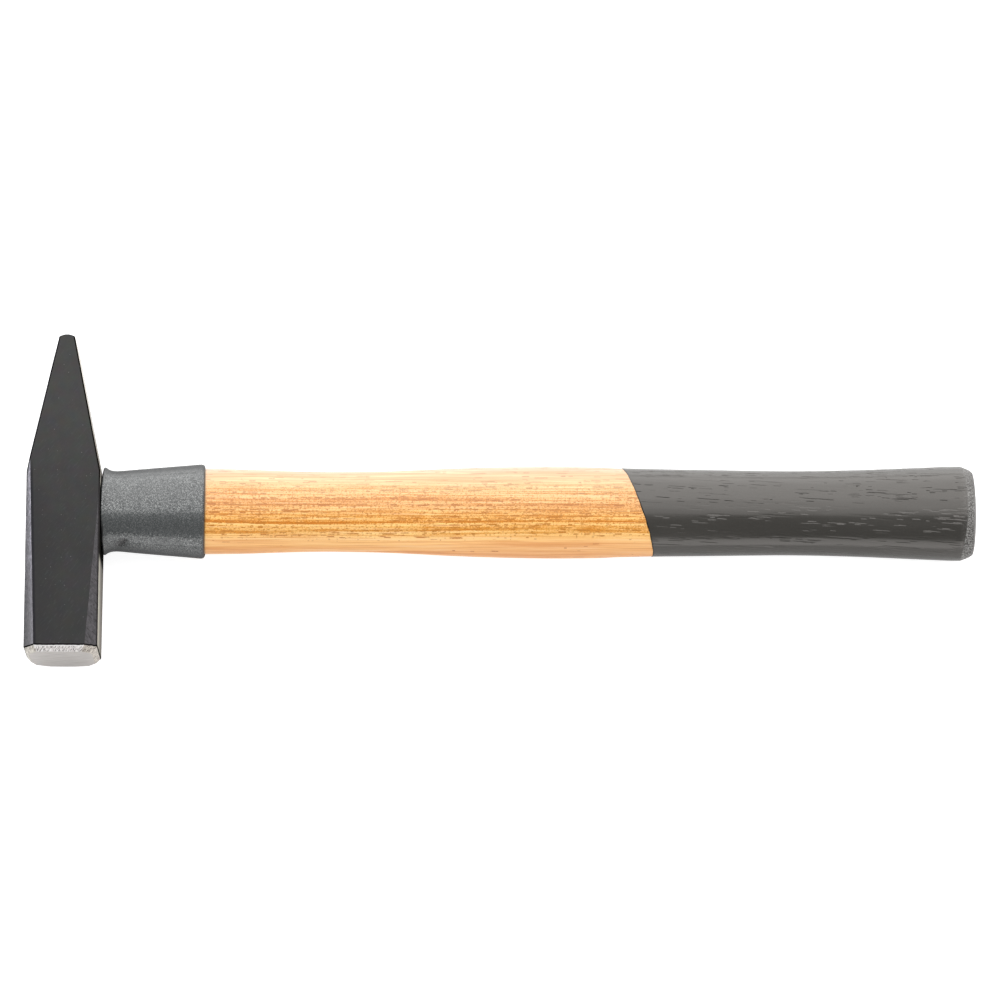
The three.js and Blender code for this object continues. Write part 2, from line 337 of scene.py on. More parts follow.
def chamfer_head(bm):
    for up in (1, -1):
        slice_off(bm,
                  (-HALF + OUTER_X, RING_Y, up * HALF),
                  (-HALF, RING_Y, up * (HALF - OUTER_Z)),
                  (-HALF + OUTER_SHOULDER_X, SHOULDER_Y, up * HALF))
        slice_off(bm,
                  (HALF - INNER_X, RING_Y, up * HALF),
                  (HALF, RING_Y, up * (HALF - INNER_Z)),
                  (HALF, INNER_END_Y, up * HALF))

    # the sloping ring round the face
    big, small = face_octagon(0, 0), face_octagon(inset_x=1.8, inset_z=1.1)
    for i in range(8):
        j = (i + 1) % 8
        middle = ((small[i][0] + small[j][0]) / 2, FACE_Y, (small[i][1] + small[j][1]) / 2)
        slice_off(bm, (big[i][0], RING_Y, big[i][1]), (big[j][0], RING_Y, big[j][1]), middle)

    # small facets at corners of the ring: (corner, reach along the face's edges)
    at_ring = [Vector((x, RING_Y, z)) for x, z in big]
    at_face = [Vector((x, FACE_Y, z)) for x, z in small]
    for i, reach in ((3, 2.6), (4, 3.0), (5, 3.0), (6, 2.4), (2, 1.0), (7, 1.2)):
        after = at_face[(i + 1) % 8] - at_face[i]
        before = at_face[i - 1] - at_face[i]
        slice_off(bm, at_ring[i], at_face[i] + after.normalized() * reach,
                  at_face[i] + before.normalized() * reach)


def score_head(bm):
    """A grid on the flats, so that they can carry the waviness of a forging."""
    pitch = 1.7
    across = np.arange(-HALF + 1.55, HALF - 1.0, pitch)
    along = np.arange(RING_Y + 1.6, PEIN_Y - 0.4, pitch)
    for normal, places in (((0, 1, 0), along), ((1, 0, 0), across), ((0, 0, 1), across)):
        normal = Vector(normal)
        for place in places:
            bmesh.ops.bisect_plane(bm, geom=all_geometry(bm), plane_co=normal * place,
                                   plane_no=normal, dist=1e-5)
    bmesh.ops.remove_doubles(bm, verts=bm.verts[:], dist=1e-4)


def eye_cutter():
    """The eye's oval bore, with a rounded mouth on both sides."""
    side = []
    for k in range(7):
        a = math.pi / 2 * k / 6
        x = HALF - EYE_ROUNDING + EYE_ROUNDING * math.sin(a)
        flare = EYE_ROUNDING - EYE_ROUNDING * math.cos(a)
        y_half, z_half = eye_half(x)
        side.append((x, y_half + flare, z_half + flare))
    side.append((HALF + 1.5, side[-1][1] + 0.4, side[-1][2] + 0.4))
    bore = [(x, *eye_half(x)) for x in np.linspace(-HALF + EYE_ROUNDING, HALF - EYE_ROUNDING, 15)]
    profile = [(-x, y, z) for x, y, z in side[::-1]][:-1] + bore + side[1:]
    count = 128
    vertices = []
    for x, y, z in profile:
        for j in range(count):
            a = 2 * math.pi * (j + 0.5) / count
            vertices.append((x, y * math.cos(a), z * math.sin(a)))
    faces = grid_faces(len(profile), count)
    faces.append(tuple(range(count)))
    faces.append(tuple(range(len(profile) * count - 1, (len(profile) - 1) * count - 1, -1)))
    return orient(mesh_object("eye_cutter", put(vertices), faces))


def weather_head(mesh):
    """Forging waviness on the flats, and a slight crown on the ground face."""
    points = read_vectors(mesh.vertices, "co") / MM
    points[:, 2] -= EYE_Z
    x, y, z = points.T
    wave = 0.045 * noise(points / 11.0, seed=3) + 0.022 * noise(points / 4.5, seed=5)
    wave *= smoothstep(y, RING_Y + 0.2, RING_Y + 3)
    wave[(np.abs(x) < HALF + 0.1) & ((y / 11.4) ** 2 + (z / 7.4) ** 2 < 1)] = 0   # in the eye
    points += read_vectors(mesh.vertices, "normal") * wave[:, None]
    points = np.clip(points, (-HALF, FACE_Y, -HALF), (HALF, PEIN_TOP, HALF))
    on_face = points[:, 1] < FACE_Y + 0.12
    from_middle = (points[:, 0] / 9.5) ** 2 + (points[:, 2] / 10.5) ** 2
    points[:, 1] += np.where(on_face, 0.13 * np.clip(from_middle, 0, 1.2), 0)
    mesh.vertices.foreach_set("co", put(points).ravel())
    mesh.update()


def build_head():
    bm = head_blank()
    chamfer_head(bm)
    score_head(bm)
    bmesh.ops.recalc_face_normals(bm, faces=bm.faces)
    for v in bm.verts:
        v.co = Vector((v.co.x, v.co.y, v.co.z + EYE_Z)) * MM
    mesh = bpy.data.meshes.new("head_steel")
    bm.to_mesh(mesh)
    bm.free()
    ob = link_object("head_steel", mesh)
    bake_modifier(ob, "BEVEL", width=0.2 * MM, segments=3, limit_method="ANGLE",
                  angle_limit=math.radians(8), use_clamp_overlap=True, harden_normals=False)
    cut(ob, eye_cutter())
    weather_head(ob.data)
    shade_smooth(ob.data)
    bake_modifier(ob, "WEIGHTED_NORMAL", weight=60, keep_sharp=False)
    return ob


# ----------------------------------------------------------------- the sleeve

def refine(profile, step):
    """Split the sides of a closed profile into parts no longer than step."""
    fine = []
    for i in range(len(profile)):
        start, end = profile[i], profile[(i + 1) % len(profile)]
        parts = max(1, int(np.ceil(np.linalg.norm(end - start) / step)))
        for part in range(parts):
            fine.append(start + (end - start) * part / parts)
    return np.array(fine)


def build_sleeve():
    profile = refine(np.array(SLEEVE, float), step=0.8)
    sides = 300
    angles = np.tile(circle(sides), len(profile))
    x = np.repeat(profile[:, 0], sides)
    radius = np.repeat(profile[:, 1], sides)
    outer = curve(SLEEVE_OUTSIDE, x)
    y = radius * np.cos(angles)
    z = (OVAL * outer - (outer - radius)) * np.sin(angles)
    # the pressed ends bow towards their neighbours over the cheeks
    bow = 0.40 * np.sin(angles) ** 2
    x = x + bow * smoothstep(x, 36, 44) - bow * (1 - smoothstep(x, 12.1, 19))
    points = np.stack([x, y, z], 1)
    # the slight unevenness of pressed sheet, and one small crease near the flare
    wave = 0.05 * noise(points / 9.0, seed=11) + 0.02 * noise(points / 3.5, seed=12)
    crease_x, crease_y, crease_turn = 18.2, -11.3, 0.30
    dx, dy = x - crease_x, y - crease_y
    along = dx * math.cos(crease_turn) + dy * math.sin(crease_turn)
    across = -dx * math.sin(crease_turn) + dy * math.cos(crease_turn)
    crease = np.exp(-((along / 2.1) ** 2 + (across / 0.75) ** 2)) * (np.sin(angles) > 0)
    points += outward(angles, 14, 10.4) * (wave + 0.06 - 0.28 * crease)[:, None]
    ob = mesh_object("neck_sleeve_shell", put(points), grid_faces(len(profile), sides, True))
    orient(ob)
    float_attribute(ob, "crease", crease)
    return ob


# ----------------------------------------------------------------- the handle

def dip_line(y, z):
    """The x of the coat's edge at a point of the section."""
    ripple = 0.05 * np.sin(y * 1.3 + 0.6) + 0.04 * np.sin(z * 1.7 + y * 0.8)
    return DIP_X + DIP_SLOPE * y + DIP_TILT * z + ripple


def wood_section(x):
    """Half sizes of the wood in y and z: in the eye, in the sleeve, then in the open."""
    x = np.asarray(x, float)
    outline = curve(OUTLINE, x)
    under_coat = 0.14 * smoothstep(x, 168, 176) + 0.26 * smoothstep(x, 188, 194)
    open_y = outline - under_coat
    open_z = OVAL * outline - under_coat
    sleeve_y = np.interp(x, [16.6, 24, 33, 44], [11.45, 12.05, 12.8, 13.55])
    sleeve_z = OVAL * (sleeve_y + 1.3) - 1.3
    out = smoothstep(x, 40.5, 44.5)
    y_half = sleeve_y * (1 - out) + open_y * out
    z_half = sleeve_z * (1 - out) + open_z * out
    neck = smoothstep(x, HALF + 0.8, HALF + 7)
    eye_y, eye_z = eye_half(x)
    clearance = 0.12
    return ((eye_y - clearance) * (1 - neck) + y_half * neck,
            (eye_z - clearance) * (1 - neck) + z_half * neck)


def kerf_cutter():
    """A tapered slab for the saw kerf: (x, half thickness) at each end."""
    width = 14
    vertices = [(x, y, z) for x, half in ((TENON_X - 1, 1.36), (8.0, 0.5))
                for y in (-width, width) for z in (-half, half)]
    faces = [(0, 1, 3, 2), (4, 6, 7, 5), (0, 4, 5, 1), (2, 3, 7, 6), (0, 2, 6, 4), (1, 5, 7, 3)]
    return orient(mesh_object("kerf_cutter", put(vertices), faces, False))


def ring_cutter(start, clearance):
    """A tube that clears the ring wedge, from start inwards."""
    end = -3.4
    inside, outside = RING_IN - clearance, RING_OUT + clearance
    profile = [(start, inside), (start, outside), (end, outside), (end, inside)]
    points = lathe(profile, np.linspace(0, 2 * np.pi, 97)[:-1])
    return orient(mesh_object("ring_cutter", put(points), grid_faces(4, 96, True), False))


def build_handle():
    sides = 300
    stations = np.array([
        TENON_X, TENON_X + 0.15, TENON_X + 0.4, TENON_X + 0.9,
        *np.arange(TENON_X + 2.2, 40, 2.0), *np.arange(41, 188.5, 0.62), *np.arange(190, 283, 3.0),
    ])
    y_half, z_half = wood_section(stations)
    tenon_rounding = np.array([0.42, 0.16, 0.04, 0.0])
    y_half[:4] -= tenon_rounding
    z_half[:4] -= tenon_rounding
    # the rounded butt under the coat: (x, how far the section has come in)
    butt = [(283.0, 0.45), (284.5, 1.4), (286.0, 2.45), (286.6, 3.3), (287.3, 6.5), (287.6, 11.0)]
    butt_y, butt_z = wood_section(283.0)
    stations = np.concatenate([stations, [x for x, _ in butt]])
    y_half = np.concatenate([y_half, [butt_y - inset for _, inset in butt]])
    z_half = np.concatenate([z_half, [max(0.8, butt_z - inset) for _, inset in butt]])

    rows = len(stations)
    angles = np.tile(circle(sides), rows)
    y_half, z_half = np.repeat(y_half, sides), np.repeat(z_half, sides)
    x = np.repeat(stations, sides)
    y = y_half * np.cos(angles)
    z = z_half * np.sin(angles)
    points = np.stack([x, y, z], 1)
    normal = outward(angles, y_half, z_half)
    # faint ridges left along the grain by turning and sanding
    wave = 0.012 * noise(points / (26, 1.1, 1.1), seed=21) + 0.03 * noise(points / (60, 6, 6), seed=22)
    in_open = smoothstep(x, 44, 50)
    points += normal * (wave * in_open + 0.06 * in_open)[:, None]
    # past the edge of the dip the wood lies clear of the coat's inside
    clear = 0.30 * smoothstep(x - dip_line(y, z), 0.1, 1.0) * np.minimum(1.0, z_half / 4.0)
    points -= normal * clear[:, None]

    tips = [(TENON_X, 0, 0), (287.72, 0, 0)]
    faces = grid_faces(rows, sides) + fan_faces(rows * sides, 0, sides)
    faces += fan_faces(rows * sides + 1, (rows - 1) * sides, sides, reverse=True)
    ob = orient(mesh_object("hickory_handle", put(np.vstack([points, tips])), faces))
    cut(ob, kerf_cutter())
    cut(ob, ring_cutter(TENON_X - 1, clearance=0.08))
    shade_smooth(ob.data)
    ob.data.set_sharp_from_angle(angle=math.radians(40))
    return ob


# ----------------------------------------------------------------- the wedges

def build_wood_wedge():
    """A tapered slab with softened corners, its end crushed a little."""
    start, end = wedge_low.x / MM, wedge_high.x / MM
    width = wedge_high.y / MM
    x_steps, y_steps = 18, 60
    vertices = []
    for i in range(x_steps + 1):
        t = i / x_steps
        x = start + (end - start) * t
        half = 1.27 * (1 - t) + 0.42 * t
        row = [-width + 2 * width * j / y_steps for j in range(y_steps + 1)]
        vertices += [(x, y, half) for y in row]
        vertices += [(x, y, -half) for y in row[::-1]]
    points = np.array(vertices)
    x = points[:, 0]
    crush = noise(points * 2.2, seed=31) * 0.05 * (1 - smoothstep(x, start, start + 1.5))
    points[:, 0] += np.where(x < start + 0.3, crush - 0.02, 0)
    columns = 2 * (y_steps + 1)
    faces = grid_faces(x_steps + 1, columns)
    # end caps as strips between the two long sides
    for base, flip in ((0, False), (x_steps * columns, True)):
        for j in range(y_steps):
            face = (base + j, base + j + 1, base + columns - 2 - j, base + columns - 1 - j)
            faces.append(face[::-1] if flip else face)
    ob = orient(mesh_object("wood_wedge_block", put(points), faces, False))
    bake_modifier(ob, "BEVEL", width=0.12 * MM, segments=2, limit_method="ANGLE",
                  angle_limit=math.radians(50))
    cut(ob, ring_cutter(start - 1, clearance=0.05))
    return ob


def build_ring_wedge():
    """A steel tube with a rounded struck edge and a bevelled nose."""
    start, end = ring_low.x / MM, ring_high.x / MM
    middle = (RING_OUT + RING_IN) / 2
    profile = [
        (start + 0.02, middle), (start + 0.03, RING_OUT - 0.22), (start + 0.12, RING_OUT - 0.07),
        (start + 0.35, RING_OUT), (start + 3.0, RING_OUT), (end - 1.6, RING_OUT),
        (end - 0.1, middle + 0.12), (end, middle), (end - 0.1, middle - 0.12),
        (end - 1.6, RING_IN), (start + 3.0, RING_IN), (start + 0.35, RING_IN),
        (start + 0.12, RING_IN + 0.07), (start + 0.03, RING_IN + 0.22),
    ]
    sides = 144
    points = np.array(lathe(profile, circle(sides)))
    near_end = 1 - smoothstep(points[:, 0], start, start + 0.8)
    points[:, 0] += np.maximum(near_end * noise(points * 1.3, seed=41) * 0.06, 0)
    faces = grid_faces(len(profile), sides, True)
    return orient(mesh_object("ring_wedge_tube", put(points), faces))


# ------------------------------------------------------------- the grip's coat

BLEND_END = 192.0        # rows follow the slanting edge up to here, then stand square

# Chamfer at the butt: (share of its length, how far the surface has come in)
BUTT_CHAMFER = [
    (0.02, 0.01), (0.06, 0.05), (0.12, 0.14), (0.2, 0.27), (0.3, 0.43), (0.42, 0.63),
    (0.54, 0.84), (0.66, 1.07), (0.76, 1.29), (0.85, 1.53), (0.92, 1.76), (0.97, 1.98),
    (1.0, 2.25),
]
# Domed end: (x, share of the full section)
BUTT_DOME = [
    (287.33, 0.80), (287.48, 0.75), (287.62, 0.67), (287.76, 0.58), (287.9, 0.47),
    (288.01, 0.35), (288.1, 0.22), (288.16, 0.1),
]


def coat_outside(angles, edge, butt_half):
    """Points of the coat's outside, and how far each belongs to the butt's end grain."""
    rows, end_grain = [], []

    def add(x, y_half, z_half, end=0.0):
        rows.append(oval_ring(x, y_half, z_half, angles))
        end_grain.append(end)

    shares = np.concatenate([[0.0, 0.0035, 0.009, 0.02, 0.04], np.linspace(0.075, 1, 20)])
    lip_rise = [0.0, 0.55, 0.85] + [1.0] * (len(shares) - 3)
    for share, rise in zip(shares, lip_rise):
        x = edge + (BLEND_END - edge) * share
        half = curve(OUTLINE, x)
        drop = 0.14 * (1 - rise)
        add(x, half - drop, OVAL * half - drop)
    for x in np.arange(BLEND_END + 0.7, OUTLINE_END, 0.68):
        half = curve(OUTLINE, x)
        add(x, half, OVAL * half)
    over_cheek = np.sin(angles) ** 2
    start = 282.9 + 1.9 * over_cheek
    for share, inward in BUTT_CHAMFER:
        inset = inward * (1 - 0.22 * over_cheek)
        add(start + (287.15 - start) * share, butt_half - inset, OVAL * butt_half - inset,
            min(1.0, share / 0.12))
    for x, share in BUTT_DOME:
        add(x, butt_half * share, OVAL * butt_half * share, 1.0)
    points = np.concatenate(rows)
    points[:, 0] = np.minimum(points[:, 0], BUTT_X - 0.06)
    return points, np.repeat(end_grain, len(angles))


def coat_inside(angles, edge, butt_half):
    """Rings of a plain skin a little under the outside."""
    half = curve(OUTLINE, edge)
    rings = [oval_ring(edge + 0.02, half - 0.16, OVAL * half - 0.16, angles)]
    for x in (BLEND_END, 202, 212, 222, 232, 242, 252, 262, 272, OUTLINE_END):
        half = curve(OUTLINE, x)
        rings.append(oval_ring(x, half - 0.34, OVAL * half - 0.34, angles))
    for x, inset in [(284.2, 1.15), (286.0, 2.4), (287.0, 4.5), (287.55, 8.0)]:
        y_half = butt_half - inset
        z_half = OVAL * butt_half - inset
        if inset >= 3:
            z_half = (OVAL * butt_half - 3.0) * (y_half / (butt_half - 3.0))
        rings.append(oval_ring(x, y_half, z_half, angles))
    return rings


def pore_depth(x, angles, rows):
    """Scattered shallow pores along the grip, 0 to 1 deep."""
    step = 2 * np.pi / len(angles)
    speed = np.sqrt((np.sin(angles) * 14) ** 2 + (OVAL * 14 * np.cos(angles)) ** 2)
    arc = np.concatenate([[0], np.cumsum((speed[:-1] + speed[1:]) / 2)]) * step
    girth = arc[-1] + speed[-1] * step
    around = np.tile(arc, rows)
    depth = np.zeros(len(x))
    rng = np.random.default_rng(7)
    for _ in range(260):
        centre_x = rng.uniform(178, 283.5)
        centre = rng.uniform(0, 1) * girth
        half_length = rng.uniform(1.5, 6.0) * (0.6 + 0.8 * rng.random() ** 2)
        width = rng.uniform(0.16, 0.24)
        strength = rng.uniform(0.3, 1.0)
        tilt = rng.normal(0.05, 0.025)
        phase = rng.uniform(0, 6.3)
        near = np.abs(x - centre_x) < half_length * 1.3
        dx = x[near] - centre_x
        side = np.sign(np.sin(np.pi * 2 * centre / girth) + 1e-9)
        # the pore wanders a little along its length
        off = around[near] - centre - tilt * dx * side - 0.05 * np.sin(dx * 1.9 + phase)
        off = (off + girth / 2) % girth - girth / 2
        groove = np.exp(-((off / width) ** 2)) * np.clip(1 - (np.abs(dx) / half_length) ** 4, 0, 1)
        depth[near] = np.maximum(depth[near], strength * groove)
    return depth


def build_coat():
    sides = 540
    angles = circle(sides)
    edge_half = float(curve(OUTLINE, DIP_X))
    edge = dip_line(edge_half * np.cos(angles), OVAL * edge_half * np.sin(angles))
    butt_half = float(curve(OUTLINE, OUTLINE_END))
    points, end_grain = coat_outside(angles, edge, butt_half)
    rows = len(points) // sides
    x = points[:, 0].copy()
    half = curve(OUTLINE, x)
    normal = outward(np.tile(angles, rows), half, OVAL * half)
    depth = pore_depth(x, angles, rows)

    wave = 0.02 * noise(points / (30, 4, 4), seed=51)
    wave += 0.012 * noise(points / (9, 1.6, 1.6), seed=52)
    rough_end = end_grain * (noise(points / (1.5, 0.42, 0.42), seed=53) * 0.05
                             + noise(points / 1.1, seed=54) * 0.05)
    lift = ((wave - 0.02) * smoothstep(x, 176, 178) - 0.03 * depth * (1 - end_grain)
            + rough_end * (x < 287.2) + 0.04)
    points += normal * lift[:, None]

    # outside with its tip, inside with its tip, and the strip that joins their edges
    inside = coat_inside(angles, edge, butt_half)
    vertices = np.vstack([points, (BUTT_X - 0.03, 0, 0), *inside, (287.9, 0, 0)])
    outer_tip, inner_tip = len(points), len(vertices) - 1
    start = outer_tip + 1
    faces = grid_faces(rows, sides)
    faces += fan_faces(outer_tip, (rows - 1) * sides, sides, reverse=True)
    for i in range(len(inside) - 1):
        here, there = start + i * sides, start + (i + 1) * sides
        for j in range(sides):
            k = (j + 1) % sides
            faces.append((here + j, here + k, there + k, there + j))
    faces += fan_faces(inner_tip, inner_tip - sides, sides)
    for j in range(sides):
        k = (j + 1) % sides
        faces.append((j, k, start + k, start + j))
    ob = orient(mesh_object("grip_lacquer_coat", put(vertices), faces))
    for name, values in (("pore", depth * (1 - end_grain)), ("end_grain", end_grain)):
        padded = np.zeros(len(vertices))
        padded[: len(values)] = values
        float_attribute(ob, name, padded)
    return ob


# --------------------------------------------------------------- shader graphs

class Value:
    """A node's output. Arithmetic on it, and its methods, add the nodes that follow."""

    def __init__(self, graph, socket):
        self.graph, self.socket = graph, socket

    def __add__(self, other):
        return self.graph.math("ADD", self, other)

    def __radd__(self, other):
        return self.graph.math("ADD", other, self)

    def __sub__(self, other):
        return self.graph.math("SUBTRACT", self, other)

    def __rsub__(self, other):
        return self.graph.math("SUBTRACT", other, self)

    def __mul__(self, other):
        return self.graph.math("MULTIPLY", self, other)

    def __truediv__(self, other):
        return self.graph.math("DIVIDE", self, other)

    def __abs__(self):
        return self.graph.math("ABSOLUTE", self)

    def maximum(self, other):
        return self.graph.math("MAXIMUM", self, other)

    def minimum(self, other):
        return self.graph.math("MINIMUM", self, other)

    @property
    def color(self):
        """The colour output of the same node."""
        return Value(self.graph, self.socket.node.outputs["Color"])

    def split(self):
        x = self.graph.add("SeparateXYZ", {0: self})
        return [Value(self.graph, socket) for socket in x.socket.node.outputs]

    def fade(self, over, to=(0.0, 1.0), curve="SMOOTHSTEP"):
        """Goes from to[0] to to[1] while this value goes from over[0] to over[1]."""
        return self.graph.add("MapRange", {0: self, 1: over[0], 2: over[1], 3: to[0], 4: to[1]},
                              interpolation_type=curve, clamp=True)

    def linear(self, over, to=(0.0, 1.0)):
        return self.fade(over, to, "LINEAR")

    def ramp(self, *stops):
        """A colour ramp through (position, colour) stops."""
        result = self.graph.add("ValToRGB", {0: self})
        elements = result.socket.node.color_ramp.elements
        while len(elements) > 1:
            elements.remove(elements[-1])
        elements[0].position, elements[0].color = stops[0][0], (*stops[0][1], 1)
        for position, color in stops[1:]:
            elements.new(position).color = (*color, 1)
        return result

    def mix(self, by, to):
        """This colour, blended towards another."""
        return self.graph.mix(by, self, to)

    def times(self, color):
        return self.graph.mix(1.0, self, color, "MULTIPLY")


class Graph:
    """Adds nodes to a node tree."""

    def __init__(self, tree):
        self.tree = tree

    def feed(self, value, socket):
        if isinstance(value, Value):
            self.tree.links.new(value.socket, socket)
        else:
            socket.default_value = (*value, 1) if socket.type == "RGBA" else value

    def add(self, kind, inputs={}, output=0, **settings):
        node = self.tree.nodes.new("ShaderNode" + kind)
        for key, value in settings.items():
            setattr(node, key, value)
        for key, value in inputs.items():
            self.feed(value, node.inputs[key])
        return Value(self, node.outputs[output])

    def math(self, operation, *values):
        return self.add("Math", dict(enumerate(values)), operation=operation)

    def vector(self, operation, *values):
        return self.add("VectorMath", dict(enumerate(values)), operation=operation)

    def scaled(self, vector, scale):
        return self.add("VectorMath", {0: vector, "Scale": scale}, operation="SCALE")

    def join(self, x, y, z):
        return self.add("CombineXYZ", {0: x, 1: y, 2: z})

    def mix(self, factor, first, second, mode="MIX"):
        return self.add("Mix", {"Factor": factor, 6: first, 7: second},
                        data_type="RGBA", blend_type=mode, output=2)

    def mix_value(self, factor, first, second):
        return self.add("Mix", {"Factor": factor, 2: first, 3: second}, data_type="FLOAT")


class Material(Graph):
    """A Principled material. Its position is in millimetres about the eye's centre."""

    def __init__(self, name):
        self.material = bpy.data.materials.new(name)
        self.material.use_nodes = True
        super().__init__(self.material.node_tree)
        self.tree.nodes.clear()
        output = self.tree.nodes.new("ShaderNodeOutputMaterial")
        self.surface = self.tree.nodes.new("ShaderNodeBsdfPrincipled")
        self.tree.links.new(self.surface.outputs[0], output.inputs[0])
        metres = self.add("TexCoord", output="Object")
        self.position = self.vector("SUBTRACT", self.scaled(metres, 1 / MM), (0, 0, EYE_Z))

    def finish(self, **inputs):
        """Sets the surface's inputs, named with _ for spaces."""
        for name, value in inputs.items():
            self.feed(value, self.surface.inputs[name.replace("_", " ")])
        return self.material

    def sized(self, size, at=None):
        """Texture position for features of the given size in mm, one for all axes or three."""
        size = size if isinstance(size, tuple) else (size,) * 3
        return self.vector("DIVIDE", at or self.position, size)

    def noise(self, size=None, at=None, detail=2.0, rough=0.5, distort=0.0):
        place = self.sized(size, at) if size else at
        return self.add("TexNoise", {"Vector": place, "Scale": 1.0, "Detail": detail,
                                     "Roughness": rough, "Distortion": distort})

    def cells(self, size):
        return self.add("TexVoronoi", {"Vector": self.sized(size), "Scale": 1.0}, output="Distance")

    def attribute(self, name):
        return self.add("Attribute", attribute_name=name, output="Fac")

    def facing(self):
        return self.add("LayerWeight", {"Blend": 0.5}, output="Facing")

    def normal(self):
        return self.add("NewGeometry", output="Normal")

    def bump(self, height, depth, strength):
        """Depth is in mm."""
        return self.add("Bump", {"Strength": strength, "Distance": depth * MM, "Height": height})

    def dashes(self, x, around, cell, half_length, half_width, presence, soft, tilt=0.0, shift=0.0):
        """Short lines along x, scattered over the (x, around) sheet in cells; 1 on a line."""
        place = self.join((x + shift) / cell[0], around / cell[1], 0.0)
        centre = self.add("TexVoronoi", {"Scale": 1.0, "Vector": place},
                          voronoi_dimensions="2D", output="Position")
        dx, off, _ = self.vector("SUBTRACT", place, centre).split()
        chance, length, strength = centre.color.split()
        dx = dx * cell[0]
        off = off * cell[1] - dx * tilt
        length = (length * 0.85 + 0.15) * half_length
        present = chance.fade(over=(self.math("SUBTRACT", presence, 0.02), presence), to=(1.0, 0.0))
        line = ((abs(dx) / length).fade(over=(0.65, 1.0), to=(1, 0))
                * (abs(off) / half_width).fade(over=(soft, 1.0), to=(1, 0)))
        return line * present * (strength * 0.5 + 0.5)

    def around(self, y, z):
        """Distance round the oval section, in mm."""
        return self.math("ARCTAN2", z / OVAL, y) * 12.5


def grey(level):
    return (level, level, level)


# ------------------------------------------------------------------- materials

